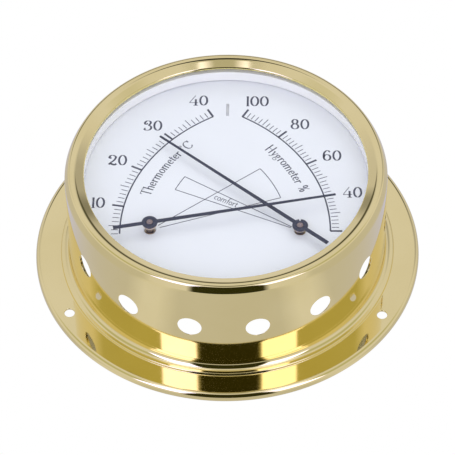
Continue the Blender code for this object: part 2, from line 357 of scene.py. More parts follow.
def from_fixing(point, centre):
    """How far a point of the flange lies across and along from a fixing hole's middle."""
    across = -point[0] * math.sin(centre) + point[1] * math.cos(centre)
    return (across, point[0] * math.cos(centre) + point[1] * math.sin(centre) - FIXING_PITCH_R)


def make_case():
    """The spun shell, with its vents and fixing holes."""
    outline = rounded_outline(case_corners())
    points, normals, faces = lathe_arrays(outline, CASE_COLUMNS)
    high, low = VENT_Z + VENT_HALF, VENT_Z - VENT_HALF
    drum = HoledBand(outline, (DRUM_R, high), (DRUM_R, low), *on_drum(DRUM_R, 1))
    bore = HoledBand(outline, (BORE_R, low), (BORE_R, high), *on_drum(BORE_R, -1))
    vents = [math.tau * (i + 0.5) / VENT_COUNT - math.pi / 2 for i in range(VENT_COUNT)]
    radii = (VENT_R, VENT_R + VENT_FLARE)
    cut_holes(points, normals, faces, (drum, bore), vents, VENT_COLUMNS, radii, from_vent)
    inner, outer = FIXING_BAND
    ends = [(inner, FLANGE_TOP), (outer, FLANGE_TOP)]
    top = HoledBand(outline, *ends, *on_flange(FLANGE_TOP, 1))
    ends = [(outer, FLANGE_UNDER), (inner, FLANGE_UNDER)]
    under = HoledBand(outline, *ends, *on_flange(FLANGE_UNDER, -1))
    fixings = [math.tau * i / FIXING_COUNT + math.pi / 2 for i in range(FIXING_COUNT)]
    radii = (FIXING_R, FIXING_R)
    cut_holes(points, normals, faces, (top, under), fixings, FIXING_COLUMNS, radii, from_fixing)
    return mesh_object("case_shell", points, list(faces.values()), normals)


case = make_case()

# -------- glass, spacer and dial

STACK_R = glass_high.x
SPACER_BORE_R = 43.6
ROUND_COLUMNS = 192
GLASS_EDGE = 0.15
# An outline that reaches the axis stops this far from it.
AXIS_R = 0.001


def disc_outline(radius, low, high, edge):
    """The outline of a plain disc with a softened rim, from the axis outwards and back."""
    corners = [(AXIS_R, high, 0.0), (radius, high, edge), (radius, low, edge), (AXIS_R, low, 0.0)]
    return rounded_outline(corners)


pane = disc_outline(STACK_R, glass_low.z, glass_high.z, GLASS_EDGE)
glass = solid_of_revolution("glass_pane", pane, ROUND_COLUMNS)
spacer = lathe("spacer_sleeve", [
    (SPACER_BORE_R, spacer_high.z, 0.2),
    (STACK_R, spacer_high.z, 0.2),
    (STACK_R, spacer_low.z, 0.2),
    (SPACER_BORE_R, spacer_low.z, 0.12),
], ROUND_COLUMNS)


# -------- dial print

# A pen stroke is thin where it runs level and thick where it runs upright: (thin, thick). These and all
# measures of a glyph are shares of a capital's height.
SERIF_PEN = (0.05, 0.15)
WORD_PEN = (0.06, 0.115)
PLAIN_PEN = (0.085, 0.085)
SERIF_REACH = 0.055
PEN_POWER = 1.5
OVAL_STEPS = 28
CURVE_STEPS = 6
BALL_STEPS = 16


def oval(cx, cy, rx, ry, start=90.0, sweep=360.0):
    """Points round an oval, or round a part of it."""
    points = []
    for k in range(OVAL_STEPS + 1):
        angle = math.radians(start + sweep * k / OVAL_STEPS)
        points.append((cx + rx * math.cos(angle), cy + ry * math.sin(angle)))
    return points


def smooth(*controls):
    """A curve through its control points (Catmull-Rom)."""
    ends = [controls[0], *controls, controls[-1]]
    points = []
    for a, b, c, d in zip(ends, ends[1:], ends[2:], ends[3:]):
        for k in range(CURVE_STEPS):
            t = k / CURVE_STEPS
            point = []
            for p0, p1, p2, p3 in zip(a, b, c, d):
                bend = (2 * p0 - 5 * p1 + 4 * p2 - p3) * t * t + (3 * p1 - p0 - 3 * p2 + p3) * t ** 3
                point.append((2 * p1 + (p2 - p0) * t + bend) / 2)
            points.append(tuple(point))
    return [*points, controls[-1]]


def pen(*controls):
    """A stroke of the pen along a curve."""
    return ("pen", smooth(*controls))


def foot(x, y=0.0, reach=SERIF_REACH):
    """A level serif across an upright's end."""
    return ("serif", [(x - reach, y), (x + reach, y)])


# Each glyph: how far to step, then its strokes. "pen" follows the pen, "hair" is always thin, "bold" always
# thick, "ball" is a filled dot, and "serif" and "dot" are a thin line and a filled dot of serif lettering.
# The glyph "'" is the ring of the degree sign.
X_HEIGHT = 0.56
GLYPHS = {
    "0": (0.6, [("pen", oval(0.29, 0.5, 0.215, 0.475))]),
    "1": (0.33, [
        ("bold", [(0.16, 0.99), (0.16, 0.0)]),
        ("hair", [(0.16, 0.97), (0.06, 0.93)]),
        foot(0.16, reach=0.12),
    ]),
    "2": (0.6, [
        ("ball", [(0.17, 0.71), 0.06]),
        pen((0.17, 0.66), (0.08, 0.74), (0.13, 0.92), (0.29, 0.98), (0.45, 0.86), (0.46, 0.7),
            (0.34, 0.44), (0.16, 0.24), (0.05, 0.07)),
        ("bold", smooth((0.07, 0.1), (0.18, 0.14), (0.32, 0.06), (0.44, 0.05), (0.52, 0.15))),
    ]),
    "3": (0.6, [
        ("ball", [(0.24, 0.7), 0.055]),
        pen((0.24, 0.66), (0.15, 0.62), (0.08, 0.74), (0.15, 0.91), (0.28, 0.98), (0.41, 0.92),
            (0.45, 0.78), (0.38, 0.61), (0.29, 0.54)),
        pen((0.29, 0.54), (0.42, 0.46), (0.49, 0.3), (0.42, 0.1), (0.27, 0.02), (0.11, 0.06),
            (0.055, 0.17)),
        ("ball", [(0.095, 0.2), 0.06]),
    ]),
    "4": (0.62, [
        ("hair", [(0.4, 1.0), (0.03, 0.27)]),
        ("hair", [(0.03, 0.27), (0.58, 0.27)]),
        ("bold", [(0.42, 0.62), (0.42, 0.0)]),
        foot(0.42, reach=0.14),
    ]),
    "6": (0.6, [
        ("pen", oval(0.29, 0.3, 0.2, 0.285)),
        pen((0.43, 0.9), (0.36, 0.975), (0.24, 0.96), (0.13, 0.8), (0.085, 0.55),
            (0.09, 0.3)),
        ("ball", [(0.44, 0.87), 0.055]),
    ]),
    "8": (0.6, [
        ("pen", oval(0.28, 0.755, 0.16, 0.225)),
        ("pen", oval(0.28, 0.27, 0.205, 0.25)),
    ]),
    "T": (0.7, [
        ("bold", [(0.34, 0.98), (0.34, 0.0)]),
        ("hair", [(0.03, 0.98), (0.65, 0.98)]),
        ("serif", [(0.04, 0.98), (0.03, 0.8)]),
        ("serif", [(0.64, 0.98), (0.65, 0.8)]),
        foot(0.34),
    ]),
    "H": (0.8, [
        ("bold", [(0.16, 1.0), (0.16, 0.0)]),
        ("bold", [(0.62, 1.0), (0.62, 0.0)]),
        ("hair", [(0.16, 0.5), (0.62, 0.5)]),
        foot(0.16), foot(0.62), foot(0.16, 0.98), foot(0.62, 0.98),
    ]),
    "C": (0.72, [
        pen((0.6, 0.74), (0.52, 0.91), (0.37, 0.98), (0.18, 0.86), (0.09, 0.5), (0.18, 0.14),
            (0.37, 0.02), (0.52, 0.08), (0.63, 0.24)),
        ("serif", [(0.61, 0.99), (0.61, 0.7)]),
    ]),
    "c": (0.44, [("pen", oval(0.24, 0.28, 0.18, 0.26, 50.0, 260.0))]),
    "e": (0.47, [
        ("hair", [(0.07, 0.31), (0.4, 0.31)]),
        pen((0.4, 0.31), (0.35, 0.49), (0.23, 0.55), (0.1, 0.45), (0.065, 0.27), (0.12, 0.09),
            (0.25, 0.01), (0.4, 0.11)),
    ]),
    "f": (0.34, [
        pen((0.34, 0.93), (0.25, 0.98), (0.17, 0.9), (0.15, 0.72), (0.15, 0.35), (0.15, 0.0)),
        ("hair", [(0.03, 0.54), (0.3, 0.54)]),
    ]),
    "g": (0.5, [
        ("pen", oval(0.22, 0.38, 0.13, 0.165)),
        ("hair", smooth((0.14, 0.24), (0.09, 0.15), (0.14, 0.08), (0.3, 0.06), (0.4, -0.02), (0.38, -0.15),
                        (0.22, -0.22), (0.07, -0.17), (0.06, -0.06), (0.14, 0.06))),
        ("hair", [(0.33, 0.48), (0.44, 0.53)]),
    ]),
    "h": (0.6, [
        ("bold", [(0.13, 1.0), (0.13, 0.0)]),
        pen((0.13, 0.38), (0.22, 0.51), (0.33, 0.55), (0.43, 0.47), (0.45, 0.3), (0.45, 0.0)),
        foot(0.13),
        foot(0.45),
        ("serif", [(0.03, 0.95), (0.13, 0.98)]),
    ]),
    "m": (0.9, [
        ("bold", [(0.13, X_HEIGHT), (0.13, 0.0)]),
        pen((0.13, 0.38), (0.21, 0.51), (0.31, 0.55), (0.4, 0.47), (0.42, 0.3), (0.42, 0.0)),
        pen((0.42, 0.38), (0.5, 0.51), (0.6, 0.55), (0.7, 0.47), (0.72, 0.3), (0.72, 0.0)),
        foot(0.13), foot(0.42), foot(0.72),
        ("serif", [(0.03, 0.52), (0.13, 0.55)]),
    ]),
    "o": (0.5, [("pen", oval(0.25, 0.28, 0.18, 0.265))]),
    "r": (0.42, [
        ("bold", [(0.13, X_HEIGHT), (0.13, 0.0)]),
        pen((0.13, 0.34), (0.19, 0.48), (0.28, 0.55), (0.37, 0.52)),
        foot(0.13),
        ("serif", [(0.03, 0.52), (0.13, 0.55)]),
        ("dot", [(0.36, 0.49), 0.05]),
    ]),
    "t": (0.36, [
        pen((0.15, 0.76), (0.15, 0.5), (0.15, 0.16), (0.2, 0.03), (0.33, 0.07)),
        ("hair", [(0.03, 0.54), (0.31, 0.54)]),
    ]),
    "y": (0.5, [
        ("bold", [(0.09, 0.55), (0.26, 0.04)]),
        ("hair", smooth((0.43, 0.55), (0.26, 0.04), (0.19, -0.14), (0.08, -0.2))),
        foot(0.09, 0.55, 0.08),
        foot(0.43, 0.55, 0.07),
        ("dot", [(0.08, -0.18), 0.05]),
    ]),
    "%": (0.86, [
        ("pen", oval(0.2, 0.74, 0.13, 0.225)),
        ("pen", oval(0.62, 0.25, 0.13, 0.225)),
        ("hair", [(0.66, 1.0), (0.16, 0.0)]),
    ]),
    "'": (0.34, [("hair", oval(0.16, 0.84, 0.1, 0.11))]),
    " ": (0.26, []),
}

# Numbers, apart from a narrow 1, are set wider than the words' letters.
WIDE = 1.2


class Print:
    """Collects thin flat solids on the dial and makes one object of them."""

    def __init__(self):
        self.points = []
        self.faces = []

    def strip(self, left, right):
        """A flat solid between two rows of points of the same length."""
        low = dial_top + PRINT_LIFT
        high = low + PRINT_THICK
        start = len(self.points)
        count = len(left)
        for z in (low, high):
            self.points += [(x, y, z) for x, y in left] + [(x, y, z) for x, y in right]
        top = start + 2 * count
        for k in range(count - 1):
            for base in (start, top):
                self.faces.append((base + k, base + k + 1, base + count + k + 1, base + count + k))
            for side in (0, count):
                a = start + side + k
                self.faces.append((a, a + 1, a + 1 + 2 * count, a + 2 * count))
        if left[0] == left[-1]:
            return
        for k in (0, count - 1):
            self.faces.append((start + k, start + count + k, top + count + k, top + k))

    def stroke(self, path, width_of, placed=None):
        """A stroke along path, or along placed, with a width that follows the direction of path."""
        placed = placed or path
        left = []
        right = []
        closed = math.dist(path[0], path[-1]) < 1e-6
        last = len(path) - 1
        for k in range(len(path)):
            ahead = (k + 1) % last if closed else min(k + 1, last)
            behind = (k - 1) % last if closed else max(k - 1, 0)
            dx, dy = path[ahead][0] - path[behind][0], path[ahead][1] - path[behind][1]
            half = width_of(dx / math.hypot(dx, dy), dy / math.hypot(dx, dy)) / 2
            ex, ey = placed[ahead][0] - placed[behind][0], placed[ahead][1] - placed[behind][1]
            length = math.hypot(ex, ey)
            x, y = placed[k]
            left.append((x - ey / length * half, y + ex / length * half))
            right.append((x + ey / length * half, y - ex / length * half))
        self.strip(left, right)

    def ball(self, centre, radius):
        """A filled dot."""
        steps = BALL_STEPS
        x, y = centre
        low = dial_top + PRINT_LIFT
        start = len(self.points)
        for z in (low, low + PRINT_THICK):
            for k in range(steps):
                angle = math.tau * k / steps
                self.points.append((x + radius * math.cos(angle), y + radius * math.sin(angle), z))
        ring = list(range(start, start + steps))
        self.faces.append(tuple(ring))
        self.faces.append(tuple(v + steps for v in ring))
        for k in range(steps):
            j = (k + 1) % steps
            self.faces.append((ring[k], ring[j], ring[j] + steps, ring[k] + steps))

    def glyph(self, name, height, pen, to_dial, serifs=True):
        """One glyph; to_dial turns its own measures into a point on the dial."""
        thin, thick = pen

        def pen_width(dx, dy):
            return (thin + (thick - thin) * abs(dy) ** PEN_POWER) * height

        hairline = steady(thin * height)
        widths = {"pen": pen_width, "hair": hairline, "bold": steady(thick * height), "serif": hairline}
        for kind, path in GLYPHS[name][1]:
            if kind in ("serif", "dot") and not serifs:
                continue
            if kind in ("ball", "dot"):
                self.ball(to_dial(*path[0]), path[1] * height)
                continue
            self.stroke(path, widths[kind], [to_dial(x, y) for x, y in path])

    def label(self, text, centre, height):
        """Upright numbers centred on a point."""
        widths = [1.0 if c == "1" else WIDE for c in text]
        x = centre[0] - sum(GLYPHS[c][0] * wide for c, wide in zip(text, widths)) * height / 2
        y = centre[1] - height / 2
        for c, wide in zip(text, widths):

            def to_dial(u, v, x=x, wide=wide):
                return (x + u * height * wide, y + v * height)

            self.glyph(c, height, SERIF_PEN, to_dial)
            x += GLYPHS[c][0] * height * wide

    def word_on_arc(self, text, pivot, start, end):
        """A word that runs clockwise from start to end, in degrees, with its feet on an arc."""
        total = sum(GLYPHS[c][0] for c in text)
        done = 0.0
        for c in text:
            at = math.radians(start + (end - start) * done / total)
            squeeze = math.radians(start - end) / total

            def to_dial(u, v, at=at):
                angle = at - u * squeeze
                r = WORD_R + v * WORD_HEIGHT
                return (pivot.x + r * math.cos(angle), pivot.y + r * math.sin(angle))

            self.glyph(c, WORD_HEIGHT, WORD_PEN, to_dial)
            done += GLYPHS[c][0]

    def make(self, name):
        return mesh_object(name, self.points, self.faces)


def on_arc(pivot, radius, degrees):
    angle = math.radians(degrees)
    return (pivot.x + radius * math.cos(angle), pivot.y + radius * math.sin(angle))


def arc_path(pivot, radius, start, end, steps=96):
    return [on_arc(pivot, radius, start + (end - start) * k / steps) for k in range(steps + 1)]


def steady(width):
    """A width for a stroke that is the same in every direction."""
    return lambda dx, dy: width


def print_scale(ink, pivot, angle_of, low, high, step, long_step, major_step, labels):
    """One scale: its arc, its ticks and its numbers."""
    ink.stroke(arc_path(pivot, ARC_R, angle_of(low), angle_of(high)), steady(ARC_WIDTH))
    for value in range(low, high + 1, step):
        if value % major_step == 0:
            (inner, outer), width = MAJOR_TICK_R, MAJOR_TICK_WIDTH
        elif value % long_step == 0:
            (inner, outer), width = LONG_TICK_R, TICK_WIDTH
        else:
            (inner, outer), width = TICK_R, TICK_WIDTH
        degrees = angle_of(value)
        ink.stroke([on_arc(pivot, inner, degrees), on_arc(pivot, outer, degrees)], steady(width))
    for value, place in labels.items():
        ink.label(str(value), place, DIGIT_HEIGHT)


def celsius_angle(value):
    """The direction of a temperature's mark from its pivot, in degrees from +X."""
    return 120.0 + (40 - value) * 5 / 3


def humidity_angle(value):
    """The same for a humidity."""
    return (value - 20) * 0.75


# Where the middle of each number stands on the dial.
CELSIUS_LABELS = {10: (-38.8, -8.2), 20: (-33.6, 9.4), 30: (-23.2, 24.1), 40: (-9.2, 35.0)}
HUMIDITY_LABELS = {40: (38.7, -3.4), 60: (32.5, 11.8), 80: (22.6, 25.0), 100: (9.2, 34.8)}
# The words: text, instrument, and the directions in which it starts and ends.
WORDS = (
    ("Thermometer", "thermo", 163.3, 139.3),
    ("'C", "thermo", 138.2, 133.2),
    ("Hygrometer", "hygro", 44.4, 23.2),
    ("%", "hygro", 21.6, 18.9),
)
SECTOR_LINE = 0.24
SECTOR_START_R = 3.0
SECTOR_STEPS = 24
# The small word in the wedges: where it starts, how it leans, its height, and its letters' step.
COMFORT_START = (-3.77, -6.32)
COMFORT_TILT = -27.2
COMFORT_HEIGHT = 2.4
COMFORT_STEP = 0.94


def print_sector(ink, pivot, first, last):
    """The wedge of one instrument's comfortable readings."""
    rim = arc_path(pivot, SECTOR_R, first, last, SECTOR_STEPS)
    ink.stroke([on_arc(pivot, SECTOR_START_R, first), rim[0]], steady(SECTOR_LINE))
    ink.stroke([rim[-1], on_arc(pivot, SECTOR_START_R, last)], steady(SECTOR_LINE))
    ink.stroke(rim, steady(SECTOR_LINE))


def make_print():
    """Both scales, the two comfort wedges and the words."""
    ink = Print()
    print_scale(ink, PIVOTS["thermo"], celsius_angle, 3, 40, 1, 5, 10, CELSIUS_LABELS)
    print_scale(ink, PIVOTS["hygro"], humidity_angle, 20, 100, 2, 10, 20, HUMIDITY_LABELS)
    print_sector(ink, PIVOTS["thermo"], celsius_angle(23), celsius_angle(18))
    print_sector(ink, PIVOTS["hygro"], humidity_angle(45), humidity_angle(70))
    for text, prefix, start, end in WORDS:
        ink.word_on_arc(text, PIVOTS[prefix], start, end)
    x, y = COMFORT_START
    tilt = Matrix.Rotation(math.radians(COMFORT_TILT), 2)
    for c in "comfort":

        def to_dial(u, v, x=x, y=y):
            turned = tilt @ Vector((u, v)) * COMFORT_HEIGHT
            return (x + turned.x, y + turned.y)

        ink.glyph(c, COMFORT_HEIGHT, PLAIN_PEN, to_dial, serifs=False)
        x, y = to_dial(GLYPHS[c][0] * COMFORT_STEP, 0.0)
    return ink.make("dial_print")


# The pale upright mark between the two scales: its lower and upper end, and its width.
MARK = ((-0.1, 28.4), (-0.1, 33.6), 0.9)


def make_mark():
    ink = Print()
    low, high, width = MARK
    ink.stroke([low, high], steady(width))
    return ink.make("dial_mark")


dial_print = make_print()
dial_mark = make_mark()


# -------- pointers

# The direction, from +X, in which each pointer lies at rest.
REST_ANGLES = {"thermo": math.radians(140.0), "hygro": math.radians(11.8)}
EYE_R = 2.4
EYE_BORE_R = 1.02
BLADE_HALF = (0.62, 0.32)
TAIL_HALF = 0.6
CONTOUR_STEPS = 40
# A slit in the eye: half its width in degrees, and how near to the pivot it reaches as a share of the eye.
SLIT_HALF = 6.0
SLIT_REACH = 0.68
EDGE_BEVEL = 0.05
# The collar: its bore, its rim's two radii and thickness, the skirt's two radii, and how high it narrows.
COLLAR_BORE_R = 1.0
COLLAR_R = (2.25, 2.2)
COLLAR_RIM = 0.35
SKIRT_R = (1.8, 1.2)
SKIRT_SHARE = 0.4
COLLAR_COLUMNS = 64
SHAFT_COLUMNS = 48


def pointer_contour(length, tail, notch):
    """The pointer's outline about its pivot, along +X, with a slit in its eye unless notch is None."""
    near, far = BLADE_HALF
    start = math.asin(near / EYE_R)
    end = math.pi - math.asin(TAIL_HALF / EYE_R)
    upper = [(length, far)]
    for k in range(CONTOUR_STEPS + 1):
        angle = start + (end - start) * k / CONTOUR_STEPS
        upper.append((EYE_R * math.cos(angle), EYE_R * math.sin(angle)))
    upper.append((-tail, TAIL_HALF))
    points = upper + [(x, -y) for x, y in reversed(upper)]
    if notch is None:
        return points
    slit = []
    for x, y in points:
        turn = math.degrees(math.atan2(y, x)) - notch
        inside = abs((turn + 180) % 360 - 180) < SLIT_HALF and math.hypot(x, y) < EYE_R * 1.01
        share = SLIT_REACH if inside else 1.0
        slit.append((x * share, y * share))
    return slit


def make_pointer(prefix, length, tail, notch):
    """The blade with its eye and tail; notch is the direction of the eye's slit in degrees, or None."""
    low, high = cad_box(f"{prefix}_pointer")
    pivot = PIVOTS[prefix]
    angle = REST_ANGLES[prefix]
    contour = pointer_contour(length, tail, notch)
    count = len(contour)
    points = []
    for ring, z in (("out", low.z), ("out", high.z), ("in", high.z), ("in", low.z)):
        for x, y in contour:
            if ring == "in":
                reach = EYE_BORE_R / math.hypot(x, y)
                x, y = x * reach, y * reach
            turned = Matrix.Rotation(angle, 2) @ Vector((x, y))
            points.append((pivot.x + turned.x, pivot.y + turned.y, z))
    faces = []
    for ring in range(4):
        after = (ring + 1) % 4
        for k in range(count):
            j = (k + 1) % count
            faces.append((ring * count + k, ring * count + j, after * count + j, after * count + k))
    pointer = mesh_object(f"{prefix}_blade", points, faces)
    bevel = pointer.modifiers.new("edge", "BEVEL")
    bevel.width = EDGE_BEVEL * MM
    bevel.segments = 2
    bevel.limit_method = "ANGLE"
    pointer.data.set_sharp_from_angle(angle=math.radians(35))
    return pointer


def make_hub(prefix):
    """The collar under the eye: a rim that the eye sits on, and a skirt that narrows to the shaft."""
    low, high = cad_box(f"{prefix}_hub")
    return lathe(f"{prefix}_collar", [
        (COLLAR_BORE_R, high.z, 0.02),
        (COLLAR_R[0], high.z, 0.08),
        (COLLAR_R[1], high.z - COLLAR_RIM, 0.08),
        (SKIRT_R[0], low.z + SKIRT_SHARE * (high.z - low.z), 0.2),
        (SKIRT_R[1], low.z, 0.05),
        (COLLAR_BORE_R, low.z, 0.02),
    ], COLLAR_COLUMNS, PIVOTS[prefix])


def make_spindle(prefix):
    """The shaft, with a chamfered tip and a turning centre in its end."""
    low, high = cad_box(f"{prefix}_spindle")
    radius = (high.x - low.x) / 2
    outline = rounded_outline([
        (AXIS_R, high.z - 0.18, 0.0),
        (0.1, high.z - 0.18, 0.02),
        (0.32, high.z, 0.04),
        (radius, high.z, 0.14),
        (radius, low.z, 0.1),
        (AXIS_R, low.z, 0.0),
    ])
    return solid_of_revolution(f"{prefix}_shaft", outline, SHAFT_COLUMNS, PIVOTS[prefix])


# Length from the pivot, tail, and the direction of the eye's slit.
POINTER_SIZES = {"thermo": (56.7, 10.8, -50.0), "hygro": (57.3, 11.2, None)}
pointers = {}
hubs = {}
spindles = {}
for prefix, (length, tail, notch) in POINTER_SIZES.items():
    pointers[prefix] = make_pointer(prefix, length, tail, notch)
    hubs[prefix] = make_hub(prefix)
    spindles[prefix] = make_spindle(prefix)


# -------- materials


class Shade:
    """A node material with a Principled shader, and short ways to add the nodes that it is built from."""

    def __init__(self, name, colour, metallic, roughness):
        self.material = bpy.data.materials.new(name)
        self.material.use_nodes = True
        self.tree = self.material.node_tree
        self.shader = self.tree.nodes["Principled BSDF"]
        self.shader.inputs["Base Color"].default_value = (*colour, 1.0)
        self.shader.inputs["Metallic"].default_value = metallic
        self.shader.inputs["Roughness"].default_value = roughness
        self.place = self.node("ShaderNodeTexCoord").outputs["Object"]

    def node(self, kind, **settings):
        made = self.tree.nodes.new(kind)
        for key, value in settings.items():
            setattr(made, key, value)
        return made

    def link(self, source, target):
        self.tree.links.new(source, target)

    def noise(self, scale, detail=3.0, stretch=(1.0, 1.0, 1.0)):
        """Noise whose grain is about 1/scale of a millimetre."""
        mapping = self.node("ShaderNodeMapping")
        mapping.inputs["Scale"].default_value = [s * scale / MM for s in stretch]
        self.link(self.place, mapping.inputs["Vector"])
        return self.grain(mapping.outputs["Vector"], detail)

    def maths(self, operation, *values):
        """The result of an operation on sockets and plain numbers."""
        node = self.node("ShaderNodeMath", operation=operation)
        for socket, value in zip(node.inputs, values):
            if isinstance(value, float):
                socket.default_value = value
            else:
                self.link(value, socket)
        return node.outputs[0]

    def split(self, vector):
        """The X, Y and Z of a vector."""
        node = self.node("ShaderNodeSeparateXYZ")
        self.link(vector, node.inputs["Vector"])
        return node.outputs[:3]

    def grain(self, vector, detail):
        """Plain noise at a place."""
        node = self.node("ShaderNodeTexNoise")
        node.inputs["Scale"].default_value = 1.0
        node.inputs["Detail"].default_value = detail
        self.link(vector, node.inputs["Vector"])
        return node.outputs["Fac"]

    def colour(self, socket):
        self.link(socket, self.shader.inputs["Base Color"])

    def roughness(self, socket):
        self.link(socket, self.shader.inputs["Roughness"])

    def remap(self, value, low, high, to_low, to_high):
        """Stretches low..high to to_low..to_high, and holds it there outside that."""
        node = self.node("ShaderNodeMapRange")
        for key, number in zip(("From Min", "From Max", "To Min", "To Max"), (low, high, to_low, to_high)):
            node.inputs[key].default_value = number
        self.link(value, node.inputs["Value"])
        return node.outputs["Result"]

    def surface(self, factor, first, second):
        """Makes a blend of two shaders the material's surface."""
        blend = self.node("ShaderNodeMixShader")
        for socket, value in zip(blend.inputs, (factor, first, second)):
            self.link(value, socket)
        self.link(blend.outputs["Shader"], self.tree.nodes["Material Output"].inputs["Surface"])

    def mix(self, factor, first, second):
        """A blend of two colours, each a tuple or a socket."""
        node = self.node("ShaderNodeMix", data_type="RGBA")
        self.link(factor, node.inputs["Factor"])
        colours = [s for s in node.inputs if s.type == "RGBA"]
        for socket, value in zip(colours, (first, second)):
            if isinstance(value, tuple):
                socket.default_value = (*value, 1.0)
            else:
                self.link(value, socket)
        return [s for s in node.outputs if s.type == "RGBA"][0]

    def compass(self, vector):
        """The azimuth of a vector in degrees, from the camera's side towards +X."""
        turned = self.node("ShaderNodeVectorRotate", rotation_type="Z_AXIS")
        self.link(vector, turned.inputs["Vector"])
        turned.inputs["Angle"].default_value = -FRAME_TURN
        x, y, _ = self.split(turned.outputs["Vector"])
        angle = self.maths("ARCTAN2", x, self.maths("MULTIPLY", y, -1.0))
        return self.remap(angle, -math.pi, math.pi, -180.0, 180.0)

    def distance_from(self, value, centre):
        """How far a value lies from centre, either way."""
        return self.maths("ABSOLUTE", self.maths("SUBTRACT", value, centre))

    def bump(self, height, strength, distance):
        """Relief whose full height is distance in millimetres."""
        node = self.node("ShaderNodeBump")
        node.inputs["Strength"].default_value = strength
        node.inputs["Distance"].default_value = distance * MM
        self.link(height, node.inputs["Height"])
        self.link(node.outputs["Normal"], self.shader.inputs["Normal"])

    def turning_marks(self, centre, per_mm):
        """Fine rings round a vertical axis, as a lathe tool or a polishing mop leaves them."""
        mapping = self.node("ShaderNodeMapping")
        mapping.inputs["Location"].default_value = (-centre[0] * MM, -centre[1] * MM, 0.0)
        self.link(self.place, mapping.inputs["Vector"])
        x, y, z = self.split(mapping.outputs["Vector"])
        flat = self.node("ShaderNodeCombineXYZ")
        self.link(x, flat.inputs["X"])
        self.link(y, flat.inputs["Y"])
        length = self.node("ShaderNodeVectorMath", operation="LENGTH")
        self.link(flat.outputs["Vector"], length.inputs[0])
        rings = self.node("ShaderNodeCombineXYZ")
        self.link(length.outputs["Value"], rings.inputs["X"])
        self.link(z, rings.inputs["Y"])
        scaled = self.node("ShaderNodeVectorMath", operation="SCALE")
        scaled.inputs["Scale"].default_value = per_mm / MM
        self.link(rings.outputs["Vector"], scaled.inputs[0])
        return self.grain(scaled.outputs["Vector"], 2.0)


def polished_brass():
    """Mirror-polished, lacquered brass: faint mop rings, slow changes of tone, and specks of dust."""
    shade = Shade("brass_polished", (0.92, 0.78, 0.315), 1.0, 0.05)
    tone = shade.remap(shade.noise(0.05, 2.0), 0.35, 0.65, 0.0, 1.0)
    colour = shade.mix(tone, (0.925, 0.785, 0.32), (0.89, 0.75, 0.295))
    speck = shade.remap(shade.noise(2.2, 2.0), 0.70, 0.76, 0.0, 0.35)
    shade.colour(shade.mix(speck, colour, (0.95, 0.90, 0.60)))
    rings = shade.turning_marks((0.0, 0.0), 9.0)
    shade.roughness(shade.remap(rings, 0.3, 0.7, 0.035, 0.075))
    shade.bump(shade.noise(0.12, 1.0), 0.35, 0.02)
    return shade.material


def machined_metal(name, colour, roughness, centre):
    """Turned or pressed metal with rings about its own axis."""
    shade = Shade(name, colour, 1.0, roughness)
    rings = shade.turning_marks(centre, 6.0)
    darker = tuple(c * 0.8 for c in colour)
    shade.colour(shade.mix(rings, darker, colour))
    uneven = shade.remap(rings, 0.3, 0.7, roughness * 0.75, roughness * 1.3)
    shade.roughness(uneven)
    shade.bump(rings, 0.25, 0.01)
    return shade.material


def rolled_strip(name, colour, metallic, roughness):
    """Strip metal or a coated strip, with streaks along the way it was rolled."""
    shade = Shade(name, colour, metallic, roughness)
    streaks = shade.noise(0.4, 3.0, (1.0, 1.0, 14.0))
    darker = tuple(c * 0.78 for c in colour)
    shade.colour(shade.mix(streaks, darker, colour))
    uneven = shade.remap(streaks, 0.3, 0.7, roughness * 0.8, roughness * 1.25)
    shade.roughness(uneven)
    shade.bump(streaks, 0.2, 0.01)
    return shade.material


def satin_black(name, colour, metallic):
    """Black finish on steel: an even fine grain with slightly greyer wear."""
    shade = Shade(name, colour, metallic, 0.38)
    worn = shade.remap(shade.noise(0.8, 4.0), 0.55, 0.8, 0.0, 0.5)
    greyer = tuple(c * 2.2 for c in colour)
    shade.colour(shade.mix(worn, colour, greyer))
    grain = shade.noise(14.0, 2.0)
    shade.roughness(shade.remap(grain, 0.3, 0.7, 0.3, 0.48))
    shade.bump(grain, 0.15, 0.004)
    return shade.material


def dial_lacquer():
    """Cool white satin lacquer with the slightest mottling."""
    shade = Shade("dial_lacquer", (0.81, 0.82, 0.83), 0.0, 0.3)
    mottle = shade.noise(0.05, 3.0)
    tone = shade.mix(mottle, (0.79, 0.80, 0.815), (0.82, 0.83, 0.84))
    shade.colour(tone)
    grain = shade.noise(9.0, 2.0)
    shade.roughness(shade.remap(grain, 0.3, 0.7, 0.26, 0.36))
    shade.bump(grain, 0.08, 0.002)
    return shade.material


def white_plastic():
    """Warm white plastic, slightly mottled."""
    shade = Shade("spacer_plastic", (0.80, 0.80, 0.79), 0.0, 0.5)
    tone = shade.mix(shade.noise(0.3, 4.0), (0.93, 0.915, 0.88), (0.96, 0.945, 0.91))
    shade.colour(tone)
    shade.bump(shade.noise(6.0, 2.0), 0.15, 0.004)
    return shade.material


def printing_ink(name, dark, light):
    """Screen-printed ink: its tone breaks up a little where it is thin."""
    shade = Shade(name, dark, 0.0, 0.45)
    thin = shade.noise(3.0, 4.0)
    shade.colour(shade.mix(thin, dark, light))
    shade.bump(thin, 0.1, 0.002)
    return shade.material


GLASS_IOR = 1.5


